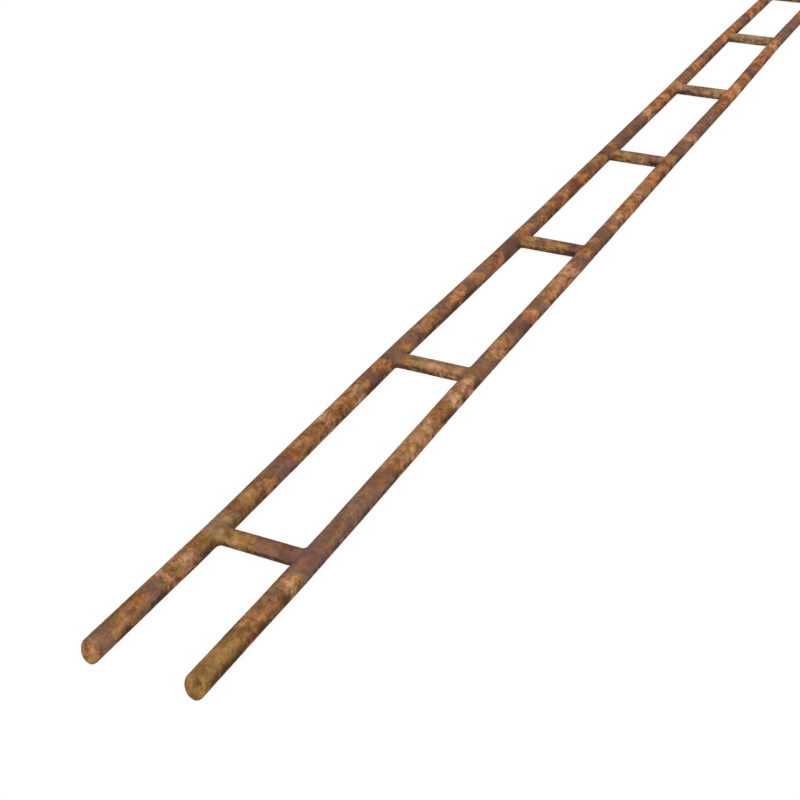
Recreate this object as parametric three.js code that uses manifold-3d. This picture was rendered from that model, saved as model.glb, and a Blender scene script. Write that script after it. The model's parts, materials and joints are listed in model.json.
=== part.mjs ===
// Welded bar ladder: two parallel round side bars joined, in one plane, by cross bars butted
// between them and welded all round. Millimetres, +Z up. The ladder lies flat: +Y runs along the
// side bars, X = 0 is midway between them, Y = 0 is half-way along, and Z = 0 is the floor.
import * as THREE from 'three';
import { mergeVertices } from 'three/addons/utils/BufferGeometryUtils.js';
import Module from 'manifold-3d';

const wasm = await Module();
wasm.setup();

// ---- Driving dimensions ----
const stockLength = 2000; // a side bar from tip to tip
const outsideWidth = 80; // over both side bars
const sideBarDiameter = 14;
const crossBarDiameter = 12;
const crossBarPitch = 250; // centre to centre
const cropRake = 18.5; // degrees that a cropped end leans back from bottom to top
const cropSkew = 7.6; // degrees that it leans back from the right edge to the left, seen from above
const rimRadius = 0.8; // rounded rim of a cropped end
const weldLeg = 3; // along each bar, from the corner between them
const weldDish = 0.4; // hollow of the weld's face: 0 is flat, 1 is a full quarter round
const weldClearance = 0.3; // left between a welded end and its side bar

// ---- Facets ----
const sidesAroundBar = 32;
const stepsAroundRim = 2;
const stepsAcrossWeld = 3;

// ---- Derived places ----
const sideBarRadius = sideBarDiameter / 2;
const crossBarRadius = crossBarDiameter / 2;
const sideBarX = outsideWidth / 2 - sideBarRadius;
const axisHeight = Math.max(sideBarRadius, crossBarRadius);
const crossBarCount = Math.floor(stockLength / crossBarPitch);
const firstCrossBarY = -((crossBarCount - 1) * crossBarPitch) / 2;

const radians = THREE.MathUtils.degToRad;
// A bar of flat facets touches its true round at the middle of each facet, so that it rests on one
// and measures its full diameter across.
const facetTurn = Math.PI / sidesAroundBar;
const overCorners = (radius) => radius / Math.cos(facetTurn);

// ---- Solids ----
function rustySteel() {
  return new THREE.MeshStandardMaterial({ color: 0x886044, roughness: 0.92, metalness: 0.15 });
}

function weldedShut(geometry) {
  geometry.deleteAttribute('normal');
  geometry.deleteAttribute('uv');
  return mergeVertices(geometry, 1e-3);
}

function toSolid(geometry) {
  const shut = weldedShut(geometry);
  const mesh = new wasm.Mesh({
    numProp: 3,
    vertProperties: new Float32Array(shut.attributes.position.array),
    triVerts: new Uint32Array(shut.index.array),
  });
  return new wasm.Manifold(mesh);
}

function toGeometry(solid) {
  const mesh = solid.getMesh();
  const geometry = new THREE.BufferGeometry();
  geometry.setAttribute('position', new THREE.BufferAttribute(mesh.vertProperties, 3));
  geometry.setIndex(new THREE.BufferAttribute(mesh.triVerts, 1));
  return geometry;
}

// A closed skin over rings of equally many points, with a flat fan over the first and last ring.
function loft(rings) {
  const points = rings.flat();
  const count = rings[0].length;
  const triangles = [];
  for (let ring = 0; ring + 1 < rings.length; ring++) {
    for (let i = 0; i < count; i++) {
      const a = ring * count + i;
      const b = ring * count + ((i + 1) % count);
      triangles.push(a, b, b + count, a, b + count, a + count);
    }
  }
  const sumOf = (ring) => ring.reduce((sum, point) => sum.add(point), new THREE.Vector3());
  const first = points.length;
  points.push(sumOf(rings[0]).divideScalar(count), sumOf(rings.at(-1)).divideScalar(count));
  const lastRing = (rings.length - 1) * count;
  for (let i = 0; i < count; i++) {
    const next = (i + 1) % count;
    triangles.push(first, next, i, first + 1, lastRing + i, lastRing + next);
  }
  const geometry = new THREE.BufferGeometry().setFromPoints(points);
  geometry.setIndex(triangles);
  return geometry;
}

// A straight round bar along Y, centred, with a small round at each rim.
function roundBar(radius, length, rim) {
  const profile = [new THREE.Vector2(0, -length / 2)];
  for (const end of [-1, 1]) {
    for (let step = 0; step <= stepsAroundRim; step++) {
      const share = end < 0 ? step : stepsAroundRim - step;
      const angle = (share / stepsAroundRim) * (Math.PI / 2);
      const reach = radius - rim * (1 - Math.sin(angle));
      const inset = rim * (1 - Math.cos(angle));
      profile.push(new THREE.Vector2(overCorners(reach), end * (length / 2 - inset)));
    }
  }
  profile.push(new THREE.Vector2(0, length / 2));
  return new THREE.LatheGeometry(profile, sidesAroundBar, facetTurn);
}

// Both ends of a side bar are cropped by parallel cuts, which lean back by the rake and the skew:
// a shear along the bar turns square ends into such cuts and leaves the round of the bar alone.
function sideBar() {
  const backPerHeight = Math.tan(radians(cropRake));
  const backPerWidth = -Math.tan(radians(cropSkew));
  const tipReach = Math.hypot(backPerHeight, backPerWidth) * (sideBarRadius - rimRadius);
  const geometry = roundBar(sideBarRadius, stockLength - 2 * tipReach, rimRadius);
  const crop = new THREE.Matrix4().set(
    1, 0, 0, 0,
    backPerWidth, 1, backPerHeight, 0,
    0, 0, 1, 0,
    0, 0, 0, 1,
  );
  return weldedShut(geometry.applyMatrix4(crop));
}

// The rings of one welded end, from the plain cross bar to inside the side bar's axis. The weld's
// face runs between the two lines on which a ball of the weld's size, rolled round the joint,
// touches the bars. X is measured from the side bar's axis, towards the middle of the cross bar.
function weldRings() {
  const crossRound = overCorners(crossBarRadius);
  const ballFromCross = crossRound + weldLeg;
  const ballFromSide = sideBarRadius + weldLeg;
  const rings = Array.from({ length: stepsAcrossWeld + 2 }, () => []);
  for (let i = 0; i < sidesAroundBar; i++) {
    const angle = (i * 2 + 1) * facetTurn;
    const along = Math.cos(angle);
    const up = Math.sin(angle);
    const ballX = Math.sqrt(Math.max(ballFromSide ** 2 - (ballFromCross * up) ** 2, 0));
    const ball = new THREE.Vector3(ballX, ballFromCross * along, ballFromCross * up);
    const crossToe = new THREE.Vector3(ballX, crossRound * along, crossRound * up);
    const inward = sideBarRadius / ballFromSide;
    const sideToe = new THREE.Vector3(ball.x * inward, ball.y, ball.z * inward);
    for (let step = 0; step <= stepsAcrossWeld; step++) {
      const flat = crossToe.clone().lerp(sideToe, step / stepsAcrossWeld);
      const hollow = flat.clone().sub(ball).setLength(weldLeg).add(ball);
      rings[step].push(flat.lerp(hollow, weldDish));
    }
    const heart = sideToe.clone().multiplyScalar(0.5).setX(0);
    rings[stepsAcrossWeld + 1].push(heart);
  }
  return rings;
}

// A cross bar along X, centred, with a weld on each end, coped to lie round the side bars.
function crossBar() {
  const atSide = (side) => (point) => new THREE.Vector3(side * (sideBarX - point.x), point.y, point.z);
  const rightEnd = weldRings().map((ring) => ring.map(atSide(1)));
  const leftEnd = weldRings().map((ring) => ring.map(atSide(-1)));
  let solid = toSolid(loft([...leftEnd.reverse(), ...rightEnd]));
  const clearBar = roundBar(sideBarRadius + weldClearance, outsideWidth, rimRadius);
  for (const side of [-1, 1]) {
    solid = solid.subtract(toSolid(clearBar.clone().translate(side * sideBarX, 0, 0)));
  }
  return toGeometry(solid);
}

// ---- Assembly ----
const ladder = new THREE.Group();
ladder.position.z = axisHeight;

function addPiece(name, geometry, x, y) {
  const piece = new THREE.Mesh(geometry, rustySteel());
  piece.name = name;
  piece.position.set(x, y, 0);
  ladder.add(piece);
}

addPiece('side_bar_left', sideBar(), -sideBarX, 0);
addPiece('side_bar_right', sideBar(), sideBarX, 0);
const weldedCrossBar = crossBar();
for (let i = 0; i < crossBarCount; i++) {
  const number = String(i + 1).padStart(2, '0');
  addPiece(`cross_bar_${number}`, weldedCrossBar, 0, firstCrossBarY + i * crossBarPitch);
}

export default ladder;
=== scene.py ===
"""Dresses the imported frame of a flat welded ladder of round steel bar.

Two side bars and the cross bars welded between them are modelled afresh over their CAD nodes,
with the uneven, pitted skin of bar that has rusted outdoors, and finished in layered rust.
Lengths are in metres unless a name ends in _mm.
"""

from __future__ import annotations

import json
import logging
import math
from collections.abc import Callable, Mapping, Sequence
from dataclasses import dataclass, field
from enum import Enum

import bmesh
import bpy
from mathutils import Euler, Matrix, Vector

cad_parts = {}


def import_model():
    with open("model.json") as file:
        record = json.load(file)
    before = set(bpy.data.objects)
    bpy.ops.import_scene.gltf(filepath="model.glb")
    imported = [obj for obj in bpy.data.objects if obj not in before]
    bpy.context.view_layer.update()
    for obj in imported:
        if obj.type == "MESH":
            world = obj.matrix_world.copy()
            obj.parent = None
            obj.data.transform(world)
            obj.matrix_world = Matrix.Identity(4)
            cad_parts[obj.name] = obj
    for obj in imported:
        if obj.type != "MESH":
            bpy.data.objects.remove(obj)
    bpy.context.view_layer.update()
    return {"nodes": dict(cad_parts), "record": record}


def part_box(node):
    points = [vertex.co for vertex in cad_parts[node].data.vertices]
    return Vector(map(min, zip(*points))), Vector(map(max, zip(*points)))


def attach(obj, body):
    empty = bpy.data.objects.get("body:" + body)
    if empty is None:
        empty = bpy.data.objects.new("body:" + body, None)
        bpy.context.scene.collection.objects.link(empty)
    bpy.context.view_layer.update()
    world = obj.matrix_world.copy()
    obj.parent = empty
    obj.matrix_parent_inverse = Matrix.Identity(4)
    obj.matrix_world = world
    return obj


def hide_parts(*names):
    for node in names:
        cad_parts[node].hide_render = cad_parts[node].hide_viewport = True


LOG = logging.getLogger("bar_ladder")
MM = 0.001
BODY = "root"
MIDDLE = 0.5  # what a noise averages
Pair = tuple[float, float]
Triple = tuple[float, float, float]
Colour = tuple[float, float, float, float]
Stop = tuple[float, Colour]
Piece = bpy.types.Object


# ---- Colour and shader maths ----
def paint(code: str) -> Colour:
    """Turns a hexadecimal display colour into the linear colour that a shader takes.

    Args:
        code: Six hexadecimal digits, red first.

    Returns:
        Red, green, blue and alpha, linear.
    """
    parts = [int(code[i : i + 2], 16) / 255 for i in (0, 2, 4)]
    linear = [p / 12.92 if p <= 0.04045 else ((p + 0.055) / 1.055) ** 2.4 for p in parts]
    return (linear[0], linear[1], linear[2], 1.0)


class Socket:
    """One output of a shader node, which takes part in sums like a number."""

    def __init__(self, graph: ShaderGraph, output: bpy.types.NodeSocket) -> None:
        """Keeps the output and the graph that it belongs to."""
        self.graph = graph
        self.output = output

    def _maths(self, operation: str, first: object, second: object) -> Socket:
        """Adds a Math node on two values or links."""
        return self.graph.add("ShaderNodeMath", {"operation": operation}, {0: first, 1: second})

    def __add__(self, other: object) -> Socket:
        """self + other."""
        return self._maths("ADD", self, other)

    __radd__ = __add__

    def __sub__(self, other: object) -> Socket:
        """self - other."""
        return self._maths("SUBTRACT", self, other)

    def __rsub__(self, other: object) -> Socket:
        """other - self."""
        return self._maths("SUBTRACT", other, self)

    def __mul__(self, other: object) -> Socket:
        """self * other."""
        return self._maths("MULTIPLY", self, other)

    __rmul__ = __mul__

    def maximum(self, other: object) -> Socket:
        """The larger of self and other."""
        return self._maths("MAXIMUM", self, other)

    def part(self, index: int) -> Socket:
        """One of a vector's three parts."""
        return self.graph.add("ShaderNodeSeparateXYZ", None, {0: self}, index)

    def vector(self, operation: str, *others: object, output: int | str = 0) -> Socket:
        """Adds a Vector Math node on this vector and others."""
        values = dict(enumerate((self, *others)))
        return self.graph.add("ShaderNodeVectorMath", {"operation": operation}, values, output)

    def zigzag(self, reach: float) -> Socket:
        """Distance to the nearest multiple of twice the reach."""
        return self._maths("PINGPONG", self, reach)

    def beside(self, name: str) -> Socket:
        """Another output of the same node."""
        return Socket(self.graph, self.output.node.outputs[name])

    def ease(self, low: float, high: float) -> Socket:
        """Rises smoothly from 0 where self is low to 1 where it is high."""
        settings = {"interpolation_type": "SMOOTHSTEP"}
        return self.graph.add("ShaderNodeMapRange", settings, {0: self, 1: low, 2: high})

    def ramp(self, stops: Sequence[Stop]) -> Socket:
        """Looks self up on a colour ramp."""
        return self.graph.add("ShaderNodeValToRGB", {"stops": stops}, {0: self})


class ShaderGraph:
    """The nodes of one material or world, added by expression."""

    def __init__(self, tree: bpy.types.NodeTree) -> None:
        """Empties the tree."""
        self.tree = tree
        tree.nodes.clear()

    def add(
        self,
        kind: str,
        settings: Mapping[str, object] | None = None,
        sockets: Mapping[int | str, object] | None = None,
        output: int | str = 0,
    ) -> Socket:
        """Adds one node.

        Args:
            kind: The node's type name.
            settings: Properties that are set first. "stops" fills a colour ramp.
            sockets: A value or a Socket for each input, by number or name.
            output: The output to hand back.

        Returns:
            The chosen output.
        """
        node = self.tree.nodes.new(kind)
        for name, value in (settings or {}).items():
            if name == "stops":
                self._fill_ramp(node.color_ramp, value)
            else:
                setattr(node, name, value)
        for key, value in (sockets or {}).items():
            if isinstance(value, Socket):
                self.tree.links.new(value.output, node.inputs[key])
            else:
                node.inputs[key].default_value = value
        return Socket(self, node.outputs[output] if node.outputs else None)

    @staticmethod
    def _fill_ramp(ramp: bpy.types.ColorRamp, stops: Sequence[Stop]) -> None:
        """Gives a colour ramp its stops.

        Args:
            ramp: The ramp.
            stops: The stops, as (place, colour).
        """
        while len(ramp.elements) < len(stops):
            ramp.elements.new(1.0)
        for element, (place, colour) in zip(ramp.elements, stops):
            element.position = place
            element.color = colour

    def mix(self, share: object, first: object, second: object, blend: str = "MIX") -> Socket:
        """Mixes two colours, by the share of the second, 0 to 1."""
        settings = {"data_type": "RGBA", "blend_type": blend}
        return self.add("ShaderNodeMix", settings, {0: share, 6: first, 7: second}, 2)


# ---- Finishes ----
TONE_PLACES = (0.28, 0.40, 0.50, 0.60, 0.74)


@dataclass(frozen=True)
class Tones:
    """Five tones of one kind of rust, from its pits to its palest grains."""

    pit: str
    low: str
    middle: str
    high: str
    crest: str

    def stops(self) -> list[Stop]:
        """Pairs the tones with their places on a ramp."""
        codes = (self.pit, self.low, self.middle, self.high, self.crest)
        return [(place, paint(code)) for place, code in zip(TONE_PLACES, codes)]


OCHRE = Tones("4a331d", "71502c", "936a3b", "b2864d", "d8ae78")
DEPTHS = Tones("36231a", "3c281d", "452f22", "4c3527", "5a4030")


class Crust(Enum):
    """Kinds of rust that lie over the ochre in patches and stretches."""

    MOSS = Tones("463720", "6d5632", "8a6e3e", "a5864c", "caac74")
    RED = Tones("4a2a1a", "764326", "9a5d38", "bc7748", "e2a26e")
    SCALE = Tones("452e28", "6a4a3e", "7d5848", "8f6754", "ae8268")
    ORANGE = Tones("70401f", "985d34", "bc7646", "d89360", "edb382")
    EMBER = Tones("5c331e", "884c2b", "a9663b", "c47d4c", "d99c6a")
    PALE = Tones("5e3f28", "926042", "ba845e", "daa57c", "edc39c")
    ASH = Tones("513f2f", "7b6148", "9d805f", "b79873", "d0b48d")
    DAMP = Tones("38261d", "553a2c", "674737", "7a5643", "9a7258")
    YELLOW = OCHRE


@dataclass(frozen=True)
class Stretch:
    """A length of bar that one kind of rust covers, in mm from the bar's near or left end."""

    kind: Crust
    start_mm: float
    end_mm: float
    cover: float

    def corners(self, edge: float) -> list[Pair]:
        """Gives the four corners of the stretch's cover.

        Args:
            edge: Length over which the cover fades at each end.

        Returns:
            The corners, as (distance from the bar's start, cover).
        """
        start, end = self.start_mm * MM, self.end_mm * MM
        soft = min(edge, (end - start) / 3)
        return [
            (start - soft, 0.0),
            (start + soft, self.cover),
            (end - soft, self.cover),
            (end + soft, 0.0),
        ]


def lay_out(**spans: Sequence[Triple]) -> tuple[Stretch, ...]:
    """Lists the stretches of one bar.

    Args:
        **spans: The stretches by kind, as (start in mm, end in mm, cover in percent).

    Returns:
        The stretches.
    """
    return tuple(
        Stretch(Crust[kind.upper()], start, end, percent / 100)
        for kind, rows in spans.items()
        for start, end, percent in rows
    )


LEFT_STRETCHES = lay_out(
    scale=[
        (3, 19, 72), (50, 66, 60), (171, 178, 50), (187, 212, 100), (328, 338, 100),
        (362, 379, 90), (396, 417, 100), (449, 473, 80), (506, 520, 80), (536, 549, 100),
        (577, 627, 100), (651, 668, 90), (893, 995, 100), (1096, 1114, 50), (1140, 1193, 85),
        (1278, 1314, 60), (1636, 1688, 90), (1842, 1896, 85),
    ],
    damp=[
        (168, 178, 70), (190, 206, 40), (363, 382, 100), (400, 416, 45), (577, 618, 85),
        (624, 676, 50), (742, 772, 60), (799, 826, 65), (854, 874, 65), (902, 990, 62),
        (1138, 1172, 45), (1179, 1193, 80), (1214, 1232, 40), (1240, 1276, 65), (1316, 1338, 55),
        (1374, 1392, 40), (1456, 1477, 90), (1640, 1676, 50), (1700, 1728, 60),
    ],
    pale=[
        (64, 74, 70), (80, 98, 65), (114, 140, 48), (258, 277, 60), (299, 316, 65),
        (475, 501, 50), (550, 574, 35), (1000, 1017, 85), (1060, 1080, 50), (1117, 1133, 80),
        (1514, 1560, 45), (1776, 1798, 70),
    ],
    orange=[
        (776, 796, 90), (838, 858, 50), (998, 1040, 40), (1196, 1216, 90), (1342, 1366, 50),
        (1476, 1495, 90), (1582, 1604, 70), (1918, 1946, 60),
    ],
    red=[
        (622, 660, 60), (752, 776, 70), (1031, 1061, 100), (1205, 1229, 100), (1280, 1322, 60),
        (1374, 1420, 80), (1742, 1780, 70),
    ],
    yellow=[(103, 142, 70), (151, 173, 70), (838, 858, 60)], ash=[(-20, 38, 25), (116, 142, 40)],
)
RIGHT_STRETCHES = lay_out(
    scale=[
        (103, 227, 100), (306, 321, 50), (364, 398, 70), (430, 474, 100), (491, 509, 90),
        (585, 605, 90), (642, 672, 100), (884, 934, 100), (956, 1051, 100), (1157, 1169, 80),
        (1208, 1233, 60), (1366, 1486, 100), (1588, 1650, 90), (1798, 1866, 100),
    ],
    damp=[
        (434, 470, 60), (586, 600, 40), (640, 673, 75), (880, 914, 65), (957, 1076, 50),
        (1194, 1222, 75), (1374, 1396, 70), (1402, 1484, 55), (1596, 1640, 60), (1806, 1838, 60),
    ],
    pale=[
        (-20, 2, 40), (90, 98, 70), (134, 200, 40), (238, 299, 58), (321, 338, 75),
        (344, 360, 80), (399, 418, 60), (511, 551, 50), (558, 580, 100), (619, 637, 50),
        (675, 712, 68), (754, 778, 65), (859, 876, 70), (939, 953, 100), (1116, 1150, 60),
        (1326, 1356, 60), (1660, 1690, 60), (1902, 1920, 80),
    ],
    orange=[
        (240, 298, 52), (477, 491, 60), (797, 818, 100), (1100, 1154, 90), (1276, 1298, 50),
        (1330, 1356, 100), (1496, 1507, 65), (1740, 1768, 80),
    ],
    red=[
        (681, 736, 60), (791, 821, 60), (1056, 1098, 60), (1176, 1204, 90), (1256, 1300, 80),
        (1692, 1730, 70),
    ],
    yellow=[(-29, 39, 100), (238, 299, 80), (764, 791, 70), (1930, 1984, 80)],
    ash=[(-20, 0, 30), (134, 202, 30), (1514, 1560, 50)],
)
# From the nearest cross bar to the farthest.
CROSS_STRETCHES = (
    lay_out(
        yellow=[(-8, 26, 100)], pale=[(8, 20, 45)], scale=[(31, 78, 100)], damp=[(48, 68, 60)]
    ),
    lay_out(scale=[(-8, 6, 80)], yellow=[(6, 60, 90)], pale=[(32, 57, 85)], ash=[(14, 62, 45)]),
    lay_out(
        yellow=[(6, 46, 90)], damp=[(17, 31, 60), (49, 70, 75)], pale=[(33, 43, 35)],
        ash=[(8, 46, 35)], scale=[(46, 78, 90)],
    ),
    lay_out(
        yellow=[(8, 38, 100)], ash=[(8, 42, 42)], scale=[(40, 66, 100)],
        damp=[(24, 38, 45), (44, 64, 55)],
    ),
    lay_out(
        scale=[(6, 36, 90)], damp=[(14, 30, 40)], yellow=[(40, 72, 90)],
        ash=[(4, 32, 50), (40, 64, 85)],
    ),
    lay_out(yellow=[(-2, 60, 100)], ash=[(6, 60, 85)], pale=[(14, 64, 60)]),
    lay_out(yellow=[(12, 62, 80)], ash=[(10, 60, 40)]),
    lay_out(yellow=[(2, 32, 80)], scale=[(38, 54, 80)]),
)


# The rust on each cross bar's left and right weld, with its cover, from the near end on.
WELD_RUST = (
    ((Crust.ASH, 0.65), (Crust.SCALE, 1.0)),
    ((Crust.SCALE, 0.9), (Crust.SCALE, 0.5)),
    ((Crust.RED, 0.6), (Crust.DAMP, 0.5)),
    ((Crust.DAMP, 0.75), (Crust.PALE, 0.3)),
    ((Crust.PALE, 0.8), (Crust.ORANGE, 0.55)),
    ((Crust.PALE, 0.25), (Crust.SCALE, 0.4)),
    ((Crust.SCALE, 0.8), (Crust.RED, 0.7)),
    ((Crust.RED, 0.6), (Crust.SCALE, 0.8)),
)
WELD_SPAN_MM = 44.0


def weld_stretches(
    rusts: Sequence[tuple[Crust, float]], middles: Sequence[float]
) -> tuple[Stretch, ...]:
    """Lays the rust of a bar's welds out along it.

    Args:
        rusts: The kind and cover on each weld.
        middles: Distance of each weld from the bar's start.

    Returns:
        One stretch around each weld.
    """
    half = WELD_SPAN_MM / 2
    return tuple(
        Stretch(kind, middle / MM - half, middle / MM + half, cover)
        for (kind, cover), middle in zip(rusts, middles)
    )


@dataclass(frozen=True)
class Speckle:
    """A noise over the rust: its blotches' width, finer layers and their strength, and shift."""

    width: float
    layers: int
    roughness: float
    offset: Triple = (0.0, 0.0, 0.0)

    def over(self, where: Socket, output: int | str = 0) -> Socket:
        """Draws the noise over the skin.

        Args:
            where: The coordinates.
            output: The output to hand back.

        Returns:
            The noise, about 0.5 on average.
        """
        sockets = {
            "Vector": where.vector("ADD", self.offset),
            "Scale": 1 / self.width,
            "Detail": self.layers,
            "Roughness": self.roughness,
        }
        return where.graph.add("ShaderNodeTexNoise", None, sockets, output)


@dataclass(frozen=True)
class Edge:
    """A patch's edge: how far the flakes crumble it, and the values that it fades between."""

    crumbling: float
    low: float
    high: float

    def cut(self, value: Socket, ragged: Socket) -> Socket:
        """Turns a smooth value into a cover of 0 to 1 with a crumbled edge."""
        return (value + ragged * self.crumbling).ease(self.low, self.high)


STRETCH_EDGES = {
    Crust.RED: Edge(1.0, 0.35, 0.6),
    Crust.SCALE: Edge(1.0, 0.5, 0.62),
    Crust.ORANGE: Edge(1.0, 0.4, 0.7),
    Crust.PALE: Edge(1.0, 0.4, 0.75),
    Crust.ASH: Edge(0.6, 0.1, 0.9),
    Crust.DAMP: Edge(1.0, 0.3, 0.8),
}
MOSS_EDGE = Edge(0.2, 0.48, 0.62)
RED_EDGE = Edge(0.35, 0.38, 0.52)
FLECK_EDGE = Edge(0.3, 0.5, 0.64)
EMBER_EDGE = Edge(0.3, 0.56, 0.72)
WORN_EDGE = Edge(-0.3, 0.5, 0.62)


@dataclass(frozen=True)
class Weather:
    """What lies where on a bar's skin, as sockets: noises about 0.5, and covers from 0 to 1."""

    mottle: Socket
    grain: Socket
    blotch: Socket
    grit: Socket
    pits: Socket
    # Painted shade on the flanks, underside and weld corners, partly dark grime.
    grime_and_shade: Socket
    own: Socket
    calm: Socket
    afar: Socket
    covers: Mapping[Crust, Socket]

    @property
    def scale(self) -> Socket:
        """Cover of the flaked scale."""
        return self.covers[Crust.SCALE]

    def blend(self, shares: Mapping[str, float]) -> Socket:
        """Adds up parts of the weather, each times its share."""
        first, *others = [getattr(self, name) * share for name, share in shares.items()]
        return sum(others, first)


class Axis(Enum):
    """The axis that a bar lies along."""

    ACROSS = 0
    ALONG = 1


@dataclass(frozen=True)
class Joints:
    """Where the welds lie: pairs of them, left and right, at one pitch along the ladder."""

    out: float
    first: float
    pitch: float
    height: float


@dataclass(frozen=True)
class Rust:
    """Layered rust: mottled ochre and red rust, with stretches of other kinds along the bar."""

    name: str
    axis: Axis
    start: float
    joints: Joints
    stretches: tuple[Stretch, ...]
    welds: tuple[Stretch, ...]

    # How much of each there is.
    free_from: float = 9.0
    free_fade: float = 60 * MM
    redness: float = 0.6
    red_growth: float = 0.25
    fleck_cover: float = 0.65
    moss_cover: Pair = (0.2, 0.45)
    ember_cover: Pair = (0.45, 0.05)
    scale_cover: Pair = (0.94, 0.4)
    scale_edge: Pair = (0.56, 0.63)
    pit_cover: Pair = (0.5, 0.4)
    raggedness: float = 1.4
    weld_redness: float = 0.6
    weld_red_edge: Pair = (0.44, 0.6)

    # Noises that lie evenly.
    crumbs: Speckle = Speckle(0.56 * MM, 2, 0.5)
    flakes: Speckle = Speckle(6 * MM, 7, 0.66, (5.5, 2.6, 9.1))
    mottles: Speckle = Speckle(4.5 * MM, 8, 0.68)
    grains: Speckle = Speckle(0.4 * MM, 3, 0.75)

    # Noises that are drawn out along the bar.
    draw: float = 2.6
    frays: Speckle = Speckle(6 * MM, 6, 0.6, (4.6, 8.8, 0.3))
    blotches: Speckle = Speckle(8 * MM, 4, 0.55, (6.6, 3.3, 7.1))
    mosses: Speckle = Speckle(8.45 * MM, 4, 0.6, (8.1, 4.2, 2.7))
    embers: Speckle = Speckle(6.5 * MM, 4, 0.6, (0.9, 7.3, 6.2))
    reds: Speckle = Speckle(13 * MM, 5, 0.65, (3.1, 0.7, 5.3))
    flecks: Speckle = Speckle(6 * MM, 5, 0.6, (2.2, 9.4, 1.5))
    scales: Speckle = Speckle(26 * MM, 4, 0.6, (1.7, 6.1, 4.4))

    # Sizes.
    crumble: float = 0.64 * MM
    grit: float = 1.2 * MM
    pit: float = 3.2 * MM
    pit_spread: float = 0.62
    pit_rarity: float = 0.26
    pit_edge: Pair = (-0.05, 0.12)
    fray: float = 30 * MM
    edge: float = 3 * MM
    relief: float = 0.5 * MM

    # Welds, and the painted shade in their lower corners.
    weld: float = 8 * MM
    weld_fade: float = 4 * MM
    corner: Triple = (-5 * MM, 7 * MM, -3 * MM)
    corner_edge: Pair = (2 * MM, 6 * MM)
    corner_shade: float = 0.8

    # Tone, relief and gloss.
    calming: float = 0.4
    contrast: Pair = (0.9, 0.5)
    # Painted light: upward faces lightened as if lit from above, with some pale dust.
    upward: Pair = (0.05, 0.8)
    top_light_and_dust: float = 0.03
    weld_top_light_and_dust: float = 0.03
    # Painted shade on downward and sideways faces, in patches that are partly grime.
    underside_turn: Pair = (-0.3, 0.6)
    tops_spared_shade: float = 0.88
    grime_and_shade_from: float = 0.53
    grime_and_shade_fade: float = 0.08
    grime_and_shade_tone: float = 0.19
    tone: float = 0.497
    farness: float = 0.5  # per metre from the ladder's middle
    roughness: float = 0.78
    specular: float = 0.2

    TONE_SHARES = {"mottle": 0.55, "grain": 0.5, "blotch": 0.64, "grit": -0.1}
    TONE_MEAN = 0.8
    HEIGHT_SHARES = {"mottle": 1.5, "grain": 0.7, "grit": -0.45, "pits": -0.5, "scale": 0.2}
    ROUGHNESS_SHARES = {"grain": 0.2, "scale": -0.14}
    RAMP_STRETCHES = 4
    FAR_WARMTH = "fff5ee"

    def material(self) -> bpy.types.Material:
        """Builds the material.

        Returns:
            The material, with patterns that lie fixed in the part's frame.
        """
        made = bpy.data.materials.new(self.name)
        made.use_nodes = True
        graph = ShaderGraph(made.node_tree)
        weather = self._weather(graph)
        height = weather.blend(self.HEIGHT_SHARES)
        bump = {"Strength": 1.0, "Distance": self.relief, "Height": height}
        sockets = {
            "Base Color": self._colour(graph, weather),
            "Roughness": weather.blend(self.ROUGHNESS_SHARES) + self.roughness,
            "Metallic": 0.0,
            "Specular IOR Level": self.specular,
            "Normal": graph.add("ShaderNodeBump", None, bump),
        }
        shader = graph.add("ShaderNodeBsdfPrincipled", None, sockets)
        graph.add("ShaderNodeOutputMaterial", None, {"Surface": shader})
        return made

    def _weather(self, graph: ShaderGraph) -> Weather:
        """Lays out where each kind of rust, grain, flake and pit lies.

        Args:
            graph: The material's nodes.

        Returns:
            The masks and heights that colour and relief are made from.
        """
        where = graph.add("ShaderNodeTexCoord", output="Object")
        factors = [1.0, 1.0, 1.0]
        factors[self.axis.value] /= self.draw
        drawn = where.vector("MULTIPLY", factors)
        push = self.crumbs.over(where, "Color").vector("ADD", (-MIDDLE,) * 3)
        crumbled = push.vector("MULTIPLY_ADD", (self.crumble,) * 3, where)
        flaked = self.flakes.over(crumbled)
        along = where.part(self.axis.value) - self.start
        place = along + (self.frays.over(drawn) - MIDDLE) * self.fray
        uneven = (flaked - MIDDLE) * self.flakes.width
        own = (self._apart(where) + uneven).ease(self.weld, self.weld + self.weld_fade)
        # Painted shade in each weld's lower corners, where the cross bar meets the side bar.
        off_shaded_corner = (self._apart(where, self.corner) + uneven).ease(*self.corner_edge)
        blotch = (self.blotches.over(drawn) - MIDDLE) * own + MIDDLE
        mottle = self.mottles.over(where)
        afar = where.part(Axis.ALONG.value) * self.farness + MIDDLE
        near_contrast, gain = self.contrast
        calm = self._cover(place, Crust.YELLOW, self.stretches)
        calm = calm.maximum(self._cover(place, Crust.SCALE, self.stretches))
        # Painted shade: patches on the flanks and underside, partly grime, and the welds' lower
        # corners.
        grime_and_shade = self._flank_grime_and_shade((blotch + mottle) * 0.5).maximum((1 - off_shaded_corner) * self.corner_shade)
        grit = {"Vector": crumbled, "Scale": 1 / self.grit}
        return Weather(
            mottle=(mottle - MIDDLE) * (afar * gain + near_contrast) + MIDDLE,
            grain=self.grains.over(where),
            blotch=blotch,
            grit=graph.add("ShaderNodeTexVoronoi", None, grit, "Distance"),
            pits=self._pits(crumbled),
            grime_and_shade=grime_and_shade,
            own=own,
            calm=calm.maximum(1 - own),
            afar=afar,
            covers=self._covers(drawn, (along, place), flaked, own),
        )

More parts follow.
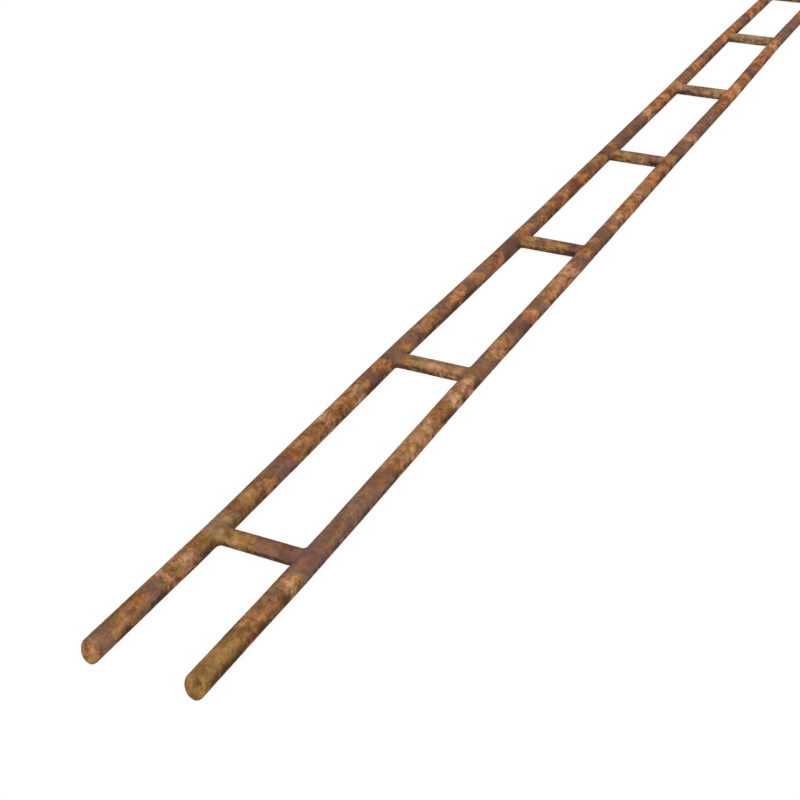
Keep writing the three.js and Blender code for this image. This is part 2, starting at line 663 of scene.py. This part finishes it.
    def _apart(self, where: Socket, shift: Sequence[float] = (0.0, 0.0, 0.0)) -> Socket:
        """Measures how far the skin is from the nearest joint, or from a place beside it.

        Args:
            where: Place in the part's frame.
            shift: The place's distance from the joint, outward, along the ladder and upward.

        Returns:
            The distance.
        """
        out, along, up = shift
        sideways = where.part(0)
        sideways = sideways.maximum(sideways * -1) - (self.joints.out + out)
        lengthwise = (where.part(1) - self.joints.first).zigzag(self.joints.pitch / 2)
        upward = where.part(2) - (self.joints.height + up)
        apart = {0: sideways, 1: lengthwise - along, 2: upward}
        apart = where.graph.add("ShaderNodeCombineXYZ", None, apart)
        return apart.vector("LENGTH", output="Value")

    def _flank_grime_and_shade(self, blotch: Socket) -> Socket:
        """Darkens patches of the flanks and underside: painted shade, with some dark grime."""
        # Painted shade: faces turned down are darkened; upward faces are mostly spared.
        damp = 1 - self._facing_up(blotch.graph, self.underside_turn) * self.tops_spared_shade
        return damp * (self.grime_and_shade_from - blotch).ease(0.0, self.grime_and_shade_fade)

    def _pits(self, where: Socket) -> Socket:
        """Scatters pits of many sizes, with none in most places.

        Args:
            where: The coordinates.

        Returns:
            The pits' depth, 0 to 1.
        """
        sockets = {"Vector": where, "Scale": 1 / self.pit}
        distance = where.graph.add("ShaderNodeTexVoronoi", None, sockets, "Distance")
        chance = where.graph.add("ShaderNodeSeparateColor", None, {0: distance.beside("Color")})
        return (chance * self.pit_spread - self.pit_rarity - distance).ease(*self.pit_edge)

    def _covers(
        self, where: Socket, places: tuple[Socket, Socket], flaked: Socket, own: Socket
    ) -> dict[Crust, Socket]:
        """Finds how much each kind of rust covers the ochre.

        Args:
            where: The coordinates, drawn out along the bar.
            places: Distance from the bar's start, plain and frayed.
            flaked: The noise that crumbles every edge.
            own: The share of the bar's own rust, and not of a weld's.

        Returns:
            The cover of each kind, 0 to 1, from the lowest layer to the highest.
        """
        along, place = places
        ragged = (flaked - MIDDLE) * self.raggedness
        laid = {kind: self._cover(place, kind, self.stretches) for kind in Crust}
        mixed = 1 - laid[Crust.YELLOW]
        free = along.ease(self.free_from, self.free_from + self.free_fade)
        scaling = self.scales.over(where).ease(*self.scale_edge) * free
        laid[Crust.SCALE] = laid[Crust.SCALE].maximum(scaling)
        found = {kind: edge.cut(laid[kind], ragged) for kind, edge in STRETCH_EDGES.items()}

        redness = self.reds.over(where)
        red = RED_EDGE.cut(redness, ragged) * mixed * (along * self.red_growth + self.redness)
        found[Crust.RED] = found[Crust.RED].maximum(red)
        most, worn = self.scale_cover
        scale = found[Crust.SCALE] * (most - WORN_EDGE.cut(redness, ragged) * worn)
        flecks = FLECK_EDGE.cut(self.flecks.over(where), ragged) * self.fleck_cover
        found[Crust.SCALE] = scale.maximum(flecks * mixed)
        for kind, speckle, edge, (least, more) in (
            (Crust.MOSS, self.mosses, MOSS_EDGE, self.moss_cover),
            (Crust.EMBER, self.embers, EMBER_EDGE, self.ember_cover),
        ):
            found[kind] = edge.cut(speckle.over(where), ragged) * (mixed * more + least)

        covers = {}
        for kind in (kind for kind in Crust if kind in found):
            welded = self._cover(along, kind, self.welds)
            if kind is Crust.RED:
                welded = welded.maximum(flaked.ease(*self.weld_red_edge) * self.weld_redness)
            covers[kind] = found[kind] * own + welded * (1 - own)
        return covers

    def _colour(self, graph: ShaderGraph, weather: Weather) -> Socket:
        """Colours the rust by its kind and how high each grain stands; paints light and shade
        too.

        Args:
            graph: The material's nodes.
            weather: The masks and heights.

        Returns:
            The base colour.
        """
        tone = weather.blend(self.TONE_SHARES) - self.TONE_MEAN
        tone = tone * (1 - weather.calm * self.calming)
        # Painted light on upward faces, with some pale dust; stronger at the welds.
        top_light_and_dust = weather.own * self.top_light_and_dust + self.weld_top_light_and_dust
        tone = tone + self._facing_up(graph, self.upward) * top_light_and_dust
        # Painted shade darkens the flanks, underside and weld corners, partly as grime.
        tone = tone + self.tone - weather.grime_and_shade * self.grime_and_shade_tone

        colour = tone.ramp(OCHRE.stops())
        for kind, cover in weather.covers.items():
            colour = graph.mix(cover, colour, tone.ramp(kind.value.stops()))
        most, calmed = self.pit_cover
        pitted = weather.pits * (most - weather.calm * calmed)
        colour = graph.mix(pitted, colour, tone.ramp(DEPTHS.stops()))
        return graph.mix(weather.afar, colour, paint(self.FAR_WARMTH), "MULTIPLY")

    def _facing_up(self, graph: ShaderGraph, turn: Pair) -> Socket:
        """Rises from 0 to 1 as the skin turns upward, where tops get painted light and some
        dust.
        """
        return graph.add("ShaderNodeNewGeometry", output="Normal").part(2).ease(*turn)

    def _cover(self, place: Socket, kind: Crust, stretches: Sequence[Stretch]) -> Socket:
        """Reads how much one kind of rust covers at a place along the bar.

        Args:
            place: Distance from the bar's start.
            kind: The kind of rust.
            stretches: The stretches that it's looked for in.

        Returns:
            The cover, 0 to 1.
        """
        wanted = [stretch for stretch in stretches if stretch.kind is kind]
        total = place * 0.0
        for first in range(0, len(wanted), self.RAMP_STRETCHES):
            corners = [
                corner
                for stretch in wanted[first : first + self.RAMP_STRETCHES]
                for corner in stretch.corners(self.edge)
            ]
            start, span = corners[0][0], corners[-1][0] - corners[0][0]
            stops = [((at - start) / span, (cover, cover, cover, 1)) for at, cover in corners]
            total = total.maximum(((place - start) * (1 / span)).ramp(stops))
        return total


# ---- Modelling helpers ----
def deselect_all() -> None:
    """Leaves nothing selected and object mode on."""
    if bpy.context.mode != "OBJECT":
        bpy.ops.object.mode_set(mode="OBJECT")
    bpy.ops.object.select_all(action="DESELECT")


def make_active(piece: Piece) -> None:
    """Selects one piece alone and makes it active.

    Args:
        piece: The piece.
    """
    deselect_all()
    piece.select_set(True)
    bpy.context.view_layer.objects.active = piece


class Pick(Enum):
    """What an edit acts on."""

    FACE = "faces"
    EDGE = "edges"


def pick(piece: Piece, kind: Pick, wanted: Callable[[object], bool]) -> None:
    """Selects just the faces or edges that pass a test, in edit mode.

    Args:
        piece: The piece being edited.
        kind: Faces or edges.
        wanted: The test.
    """
    mesh = bmesh.from_edit_mesh(piece.data)
    bpy.ops.mesh.select_mode(type=kind.name)
    bpy.ops.mesh.select_all(action="DESELECT")
    for element in getattr(mesh, kind.value):
        if wanted(element):
            element.select_set(True)
    bmesh.update_edit_mesh(piece.data)


def edge_vector(edge: bmesh.types.BMEdge) -> Vector:
    """The vector from an edge's first vertex to its second."""
    return edge.verts[1].co - edge.verts[0].co


def apply_modifier(piece: Piece, kind: str, **settings: object) -> None:
    """Adds a modifier to a piece and applies it.

    Args:
        piece: The piece.
        kind: The modifier's type.
        **settings: Its properties.
    """
    make_active(piece)
    modifier = piece.modifiers.new(kind.lower(), kind)
    for name, value in settings.items():
        setattr(modifier, name, value)
    bpy.ops.object.modifier_apply(modifier=modifier.name)


@dataclass(frozen=True)
class ReliefLayer:
    """One layer of unevenness pressed into a surface."""

    name: str
    grain: float
    depth: float
    fine_layers: int
    level: float = 0.6

    def texture(self) -> bpy.types.Texture:
        """Makes the layer's procedural texture, once for every piece.

        Returns:
            The texture.
        """
        found = bpy.data.textures.get(self.name)
        if found is None:
            found = bpy.data.textures.new(self.name, "CLOUDS")
            found.noise_scale = self.grain
            found.noise_depth = self.fine_layers
        return found

    def press(self, piece: Piece) -> None:
        """Moves the piece's surface in and out along its normals.

        Args:
            piece: The piece.
        """
        apply_modifier(
            piece,
            "DISPLACE",
            texture=self.texture(),
            texture_coords="GLOBAL",
            direction="NORMAL",
            mid_level=self.level,
            strength=self.depth,
        )


ROLLED_SKIN = (
    ReliefLayer("rolling_waver", grain=34 * MM, depth=0.3 * MM, fine_layers=0),
    ReliefLayer("rust_crust", grain=2.8 * MM, depth=0.26 * MM, fine_layers=3),
)


def finish_piece(piece: Piece, material: bpy.types.Material, nodes: Sequence[str]) -> None:
    """Dresses a finished piece and ties it to the frame.

    Args:
        piece: The piece, in place.
        material: Its finish.
        nodes: The CAD nodes that it stands for.
    """
    for layer in ROLLED_SKIN:
        layer.press(piece)
    make_active(piece)
    bpy.ops.object.shade_smooth()
    piece.data.materials.clear()
    piece.data.materials.append(material)
    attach(piece, BODY)
    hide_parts(*nodes)


@dataclass(frozen=True)
class Sweep:
    """How far the side bars stand to the right of straight, in mm: near end, joints, far end."""

    left_mm: tuple[float, ...]
    right_mm: tuple[float, ...]

    def cage(self, width: float, length: float) -> Piece:
        """Makes the flat lattice that bends every bar alike, so that joints stay closed.

        Args:
            width: Distance between the side bars' axes.
            length: Length of the ladder.

        Returns:
            The lattice's object.
        """
        columns = (self._rows(self.left_mm), self._rows(self.right_mm))
        deselect_all()
        bpy.ops.object.add(type="LATTICE")
        cage = bpy.context.active_object
        cage.scale = (width, length, 1)
        grid = cage.data
        grid.points_u, grid.points_v, grid.points_w = 2, len(columns[0]), 1
        grid.interpolation_type_u = "KEY_LINEAR"
        grid.interpolation_type_v = "KEY_CATMULL_ROM"
        for row, offsets in enumerate(zip(*columns)):
            for column, offset in enumerate(offsets):
                grid.points[2 * row + column].co_deform.x += offset * MM / width
        return cage

    @staticmethod
    def _rows(offsets: Sequence[float]) -> list[float]:
        """Spreads one bar's offsets over even half bays.

        Args:
            offsets: The offsets at the near end, the joints and the far end.

        Returns:
            The same, with a mean between each two joints.
        """
        near, *joints, far = offsets
        rows = [near, joints[0]]
        for before, after in zip(joints, joints[1:]):
            rows += [(before + after) / 2, after]
        return [*rows, far]


HAND_STRAIGHTENED = Sweep(
    left_mm=(-0.5, 0.5, -1.5, 1, 1, 1, -0.5, 1, -0.5, -0.5),
    right_mm=(-0.5, 0.5, -1, 0, -0.5, 0.5, -1.5, -0.5, 0.5, 0),
)


# ---- The bars ----
@dataclass
class Bar:
    """A bar's place, read from its CAD node."""

    node: str
    low: Vector = field(init=False)
    high: Vector = field(init=False)

    def __post_init__(self) -> None:
        """Reads the place."""
        self.low, self.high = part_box(self.node)

    @property
    def centre(self) -> Vector:
        """Middle of the bar."""
        return (self.low + self.high) / 2


@dataclass
class SideBar(Bar):
    """One long plain bar with cropped ends."""

    near_mount: str
    far_mount: str
    facets: int = 48
    spare: float = 10 * MM
    rim: float = 0.8 * MM
    rim_steps: int = 3
    face_rings: int = 6
    first_cuts: int = 124
    second_cuts: int = 15
    parallel: float = 0.999
    facet_corners: int = 4

    @property
    def radius(self) -> float:
        """Radius of the bar."""
        return (self.high.z - self.low.z) / 2

    def build(self, mounts: Mapping[str, Mapping[str, Sequence[float]]]) -> Piece:
        """Models the bar: a round, cropped aslant, with its rims rounded, then divided finely.

        Args:
            mounts: The record's mounts by name, which hold the planes of the cropped ends.

        Returns:
            The bar's object.
        """
        deselect_all()
        bpy.ops.mesh.primitive_cylinder_add(
            vertices=self.facets,
            radius=self.radius,
            depth=self.high.y - self.low.y + self.spare,
            location=self.centre,
            rotation=(math.pi / 2, 0, 0),
        )
        bar = bpy.context.active_object
        bar.name = f"{self.node}_rusted"
        bpy.ops.object.transform_apply(location=True, rotation=True, scale=True)
        bpy.ops.object.mode_set(mode="EDIT")
        for plane in (mounts[self.near_mount], mounts[self.far_mount]):
            self._crop(bar, Vector(plane["pos_m"]), Vector(plane["axis"]))
        self._divide(bar)
        bpy.ops.object.mode_set(mode="OBJECT")
        return bar

    def _crop(self, bar: Piece, point: Vector, outward: Vector) -> None:
        """Cuts one end along a plane, rounds its rim and rings its face.

        Args:
            bar: The bar, in edit mode.
            point: A point of the cut's plane.
            outward: The plane's normal, out of the bar.
        """
        bpy.ops.mesh.select_all(action="SELECT")
        bpy.ops.mesh.bisect(plane_co=point, plane_no=outward, use_fill=True, clear_outer=True)
        pick(bar, Pick.FACE, lambda face: face.normal.dot(outward) > self.parallel)
        bpy.ops.mesh.region_to_loop()
        bpy.ops.mesh.bevel(offset=self.rim, segments=self.rim_steps, profile=0.5, affect="EDGES")
        pick(
            bar,
            Pick.FACE,
            lambda face: face.normal.dot(outward) > self.parallel
            and len(face.verts) > self.facet_corners,
        )
        step = (self.radius - self.rim) / (self.face_rings + 1)
        for _ in range(self.face_rings):
            bpy.ops.mesh.inset(thickness=step, depth=0)
        bpy.ops.mesh.poke()

    def _divide(self, bar: Piece) -> None:
        """Divides the bar lengthwise into rings about as long as its facets are wide.

        Args:
            bar: The bar, in edit mode.
        """
        span = self.high.y - self.low.y
        pick(bar, Pick.EDGE, lambda edge: abs(edge_vector(edge).y) > span / 2)
        bpy.ops.mesh.subdivide(number_cuts=self.first_cuts)
        stretch = span / (self.first_cuts + 1)
        pick(bar, Pick.EDGE, lambda edge: abs(edge_vector(edge).y) > stretch / 2)
        bpy.ops.mesh.subdivide(number_cuts=self.second_cuts)


@dataclass
class CrossBar(Bar):
    """The first cross bar with the fillet weld on each of its ends, made once and copied."""

    side: SideBar
    facets: int = 64
    bar_radius: float = 6 * MM
    weld_leg: float = 3 * MM
    weld_dish: float = 0.4 * MM
    weld_steps: int = 8
    weld_swell: float = 1.5
    weld_inset: float = 2 * MM
    bar_cuts: int = 84
    sink: float = 1.2 * MM
    former_facets: int = 360
    former_length: float = 0.1

    @property
    def reach(self) -> float:
        """Distance from a side bar's axis to the weld's toe on the cross bar."""
        return self.side.radius + self.weld_leg

    def joints(self, next_node: str) -> Joints:
        """Finds where the welds lie, from the first cross bar and the next.

        Args:
            next_node: The CAD node of the next cross bar.

        Returns:
            The welds' places.
        """
        pitch = Bar(next_node).low.y - self.low.y
        out = abs(self.side.centre.x) - self.weld_inset
        return Joints(out, self.centre.y, pitch, self.centre.z)

    def build(self) -> Piece:
        """Models the first cross bar: a round whose ends flare into saddle-shaped welds.

        Returns:
            The bar's object.
        """
        deselect_all()
        bpy.ops.mesh.primitive_cylinder_add(
            vertices=self.facets,
            radius=self.bar_radius,
            depth=2 * (abs(self.side.centre.x) - self.reach),
            end_fill_type="NOTHING",
            location=self.centre,
            rotation=(0, math.pi / 2, 0),
        )
        bar = bpy.context.active_object
        bpy.ops.object.transform_apply(location=True, rotation=True, scale=True)
        for end in (-1, 1):
            axis = Vector((end * abs(self.side.centre.x), self.centre.y, self.side.centre.z))
            self._shape_toe(bar, end, axis)
            self._flare(bar, end, axis)
        make_active(bar)
        bpy.ops.object.mode_set(mode="EDIT")
        pick(bar, Pick.EDGE, lambda edge: abs(edge_vector(edge).x) > self.bar_radius)
        bpy.ops.mesh.subdivide(number_cuts=self.bar_cuts)
        bpy.ops.mesh.select_all(action="SELECT")
        bpy.ops.mesh.normals_make_consistent(inside=False)
        bpy.ops.object.mode_set(mode="OBJECT")
        return bar

    def _shape_toe(self, bar: Piece, end: int, axis: Vector) -> None:
        """Presses one end of the bar on to an oval former, which leaves the weld's toe line.

        A ball as large as the weld's leg that rolls around the joint touches the bar along it.

        Args:
            bar: The open bar.
            end: -1 for the left end and 1 for the right.
            axis: The side bar's axis at the joint.
        """
        deselect_all()
        bpy.ops.mesh.primitive_cylinder_add(
            vertices=self.former_facets,
            radius=1.0,
            depth=self.former_length,
            location=axis,
            rotation=(math.pi / 2, 0, 0),
        )
        former = bpy.context.active_object
        bpy.ops.object.transform_apply(location=False, rotation=True, scale=True)
        oval = self.reach * self.bar_radius / (self.bar_radius + self.weld_leg)
        former.scale = (self.reach, 1, oval)
        toe = bar.vertex_groups.new(name="toe")
        rim = [v.index for v in bar.data.vertices if v.co.x * end > 0]
        toe.add(rim, 1.0, "REPLACE")
        apply_modifier(
            bar,
            "SHRINKWRAP",
            target=former,
            vertex_group="toe",
            wrap_method="PROJECT",
            use_project_x=True,
            use_positive_direction=end > 0,
            use_negative_direction=end < 0,
        )
        bar.vertex_groups.clear()
        bpy.data.objects.remove(former)

    def _flare(self, bar: Piece, end: int, axis: Vector) -> None:
        """Draws one rim out into its weld, as far as the side bar and on under its skin.

        Args:
            bar: The bar.
            end: -1 for the left end and 1 for the right.
            axis: The side bar's axis at the joint.
        """
        make_active(bar)
        bpy.ops.object.mode_set(mode="EDIT")
        pick(bar, Pick.EDGE, lambda e: e.is_boundary and all(v.co.x * end > 0 for v in e.verts))
        last = (1.0, 1.0, 1.0)
        for step in range(1, self.weld_steps + 1):
            share = step / self.weld_steps
            run = self.weld_leg * share
            # Deepest half-way, and square to the weld's slope of 45 degrees.
            dish = self.weld_dish * 4 * share * (1 - share) * math.sqrt(0.5)
            grown = (
                (self.reach - run - dish) / self.reach,
                (self.bar_radius + run - dish) / self.bar_radius,
                1 + (self.side.radius / self.reach * self.weld_swell - 1) * share**2,
            )
            self._draw_in(axis, tuple(now / before for now, before in zip(grown, last)))
            last = grown
        under = (self.side.radius - self.sink) / self.side.radius
        self._draw_in(axis, (under, 1.0, under))
        bpy.ops.mesh.edge_face_add()
        bpy.ops.mesh.poke()
        bpy.ops.object.mode_set(mode="OBJECT")

    @staticmethod
    def _draw_in(axis: Vector, factors: Triple) -> None:
        """Extrudes the selected rim and scales it about the side bar's axis."""
        bpy.ops.mesh.extrude_edges_move()
        bpy.ops.transform.resize(value=factors, center_override=axis)

    def copy_to(self, bar: Piece, node: str) -> Piece:
        """Copies the modelled bar, with its own mesh, to another cross bar's place.

        Args:
            bar: The modelled bar.
            node: The CAD node whose place the copy takes.

        Returns:
            The copy.
        """
        twin = bar.copy()
        twin.data = bar.data.copy()
        twin.name = f"{node}_rusted"
        twin.data.transform(Matrix.Translation(Bar(node).centre - self.centre))
        bpy.context.scene.collection.objects.link(twin)
        return twin


@dataclass
class Ladder:
    """The whole welded ladder."""

    record: Mapping[str, object]
    node_names: Sequence[str]
    side_free_from: float = 1.4
    cross_redness: float = 0.3
    # Painted top light and dust on the cross bars' own skin, lower than on the side bars.
    cross_top_light_and_dust: float = -0.015
    cage: Piece | None = None

    def build(self) -> None:
        """Builds, dresses and reports every bar."""
        mounts = {mount["name"]: mount for mount in self.record["mounts"]}
        sides = [
            SideBar(f"side_bar_{hand}", f"end_face_near_{hand}", f"end_face_far_{hand}")
            for hand in ("left", "right")
        ]
        cross_nodes = sorted(name for name in self.node_names if name.startswith("cross_bar"))
        pattern = CrossBar(cross_nodes[0], sides[0])
        joints = pattern.joints(cross_nodes[1])
        spread = sides[1].centre.x - sides[0].centre.x
        self.cage = HAND_STRAIGHTENED.cage(spread, sides[0].high.y - sides[0].low.y)
        first = joints.first - sides[0].low.y
        middles = [first + joints.pitch * bay for bay in range(len(WELD_RUST))]
        bars = zip(sides, (LEFT_STRETCHES, RIGHT_STRETCHES), zip(*WELD_RUST))
        for side, stretches, rusts in bars:
            rust = Rust(
                f"rust_{side.node}",
                Axis.ALONG,
                side.low.y,
                joints,
                stretches,
                weld_stretches(rusts, middles),
                free_from=self.side_free_from,
            )
            self._keep(side.build(mounts), rust.material(), side.node)
        model = pattern.build()
        middles = (spread / 2 - joints.out, spread / 2 + joints.out)
        for node, stretches, rusts in zip(cross_nodes, CROSS_STRETCHES, WELD_RUST):
            rust = Rust(
                f"rust_{node}",
                Axis.ACROSS,
                sides[0].centre.x,
                joints,
                stretches,
                weld_stretches(rusts, middles),
                redness=self.cross_redness,
                top_light_and_dust=self.cross_top_light_and_dust,
            )
            self._keep(pattern.copy_to(model, node), rust.material(), node)
        bpy.data.objects.remove(model)
        bpy.data.objects.remove(self.cage)

    def _keep(self, piece: Piece, rust: bpy.types.Material, node: str) -> None:
        """Bends, finishes and reports a piece.

        Args:
            piece: The piece, still straight.
            rust: Its finish.
            node: The CAD node that it stands for.
        """
        apply_modifier(piece, "LATTICE", object=self.cage)
        finish_piece(piece, rust, [node])
        LOG.info("%s: %d faces", piece.name, len(piece.data.polygons))


# ---- Studio ----
@dataclass
class Studio:
    """Floor, sky, lamp and camera."""

    floor_size: float = 12.0
    floor_drop: float = 0.3 * MM
    floor_tone: Colour = (0.66, 0.66, 0.66, 1.0)
    floor_glow: float = 0.9
    floor_white: float = 1.02
    white: Colour = (1.0, 1.0, 1.0, 1.0)
    sky_strength: float = 0.28
    lamp_strength: float = 0.84
    lamp_width: float = 45.0
    lamp_from: Triple = (0.32, -0.68, 0.66)
    camera_place: Triple = (0.36876, -1.45416, 0.49212)
    camera_heading: float = 25.560
    camera_pitch: float = -29.453
    focal_px: float = 1398.67
    frame_px: float = 800.0
    sensor: float = 36.0
    seen_from: float = 0.01
    seen_to: float = 50.0

    def build(self) -> None:
        """Sets everything up."""
        self._floor()
        self._sky()
        self._lamps()
        self._camera()
        bpy.context.scene.view_settings.view_transform = "Standard"

    def _seen_directly(self, graph: ShaderGraph) -> Socket:
        """Tells the rays that show things from the rays that carry light.

        Args:
            graph: The nodes of the floor or the sky.

        Returns:
            1 for camera, glossy and transmission rays, and 0 for others.
        """
        seen = graph.add("ShaderNodeLightPath", output="Is Camera Ray")
        glossy, through = seen.beside("Is Glossy Ray"), seen.beside("Is Transmission Ray")
        return seen.maximum(glossy).maximum(through)

    def _floor(self) -> None:
        """Lays a pale floor that shows white and keeps a soft shadow."""
        deselect_all()
        bpy.ops.mesh.primitive_plane_add(size=self.floor_size, location=(0, 0, -self.floor_drop))
        floor = bpy.context.active_object
        floor.name = "floor"
        material = bpy.data.materials.new("pale_floor")
        material.use_nodes = True
        graph = ShaderGraph(material.node_tree)
        seen = self._seen_directly(graph)
        shade = graph.mix(seen, self.floor_tone, self.white)
        matt = graph.add("ShaderNodeBsdfDiffuse", None, {"Color": shade})
        glow = {"Color": self.white, "Strength": self.floor_white}
        white = graph.add("ShaderNodeEmission", None, glow)
        mixed = graph.add(
            "ShaderNodeMixShader", None, {0: seen * self.floor_glow, 1: matt, 2: white}
        )
        graph.add("ShaderNodeOutputMaterial", None, {"Surface": mixed})
        floor.data.materials.append(material)

    def _sky(self) -> None:
        """Lights everything evenly from a pale sky that shows white."""
        world = bpy.data.worlds.new("sky")
        bpy.context.scene.world = world
        world.use_nodes = True
        graph = ShaderGraph(world.node_tree)
        light, white = [
            graph.add("ShaderNodeBackground", None, {"Color": self.white, "Strength": strength})
            for strength in (self.sky_strength, 1.0)
        ]
        seen = self._seen_directly(graph)
        mixed = graph.add("ShaderNodeMixShader", None, {0: seen, 1: light, 2: white})
        graph.add("ShaderNodeOutputWorld", None, {"Surface": mixed})

    def _lamps(self) -> None:
        """Hangs one broad lamp high behind the camera."""
        lamp = bpy.data.lights.new("broad_lamp", "SUN")
        lamp.energy = self.lamp_strength * math.pi
        lamp.angle = math.radians(self.lamp_width)
        holder = bpy.data.objects.new("broad_lamp", lamp)
        holder.rotation_euler = Vector(self.lamp_from).to_track_quat("Z", "Y").to_euler()
        bpy.context.scene.collection.objects.link(holder)

    def _camera(self) -> None:
        """Stands the camera."""
        camera = bpy.data.cameras.new("camera")
        camera.sensor_width = self.sensor
        camera.lens = self.sensor * self.focal_px / self.frame_px
        camera.clip_start = self.seen_from
        camera.clip_end = self.seen_to
        holder = bpy.data.objects.new("camera", camera)
        holder.location = self.camera_place
        upward = math.radians(90 + self.camera_pitch)
        holder.rotation_euler = Euler((upward, 0, math.radians(self.camera_heading)))
        bpy.context.scene.collection.objects.link(holder)
        bpy.context.scene.camera = holder


def main() -> None:
    """Loads the frame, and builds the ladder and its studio."""
    logging.basicConfig(level=logging.INFO, format="%(name)s: %(message)s")
    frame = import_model()
    Ladder(frame["record"], sorted(frame["nodes"])).build()
    Studio().build()


if __name__ == "__main__":
    main()
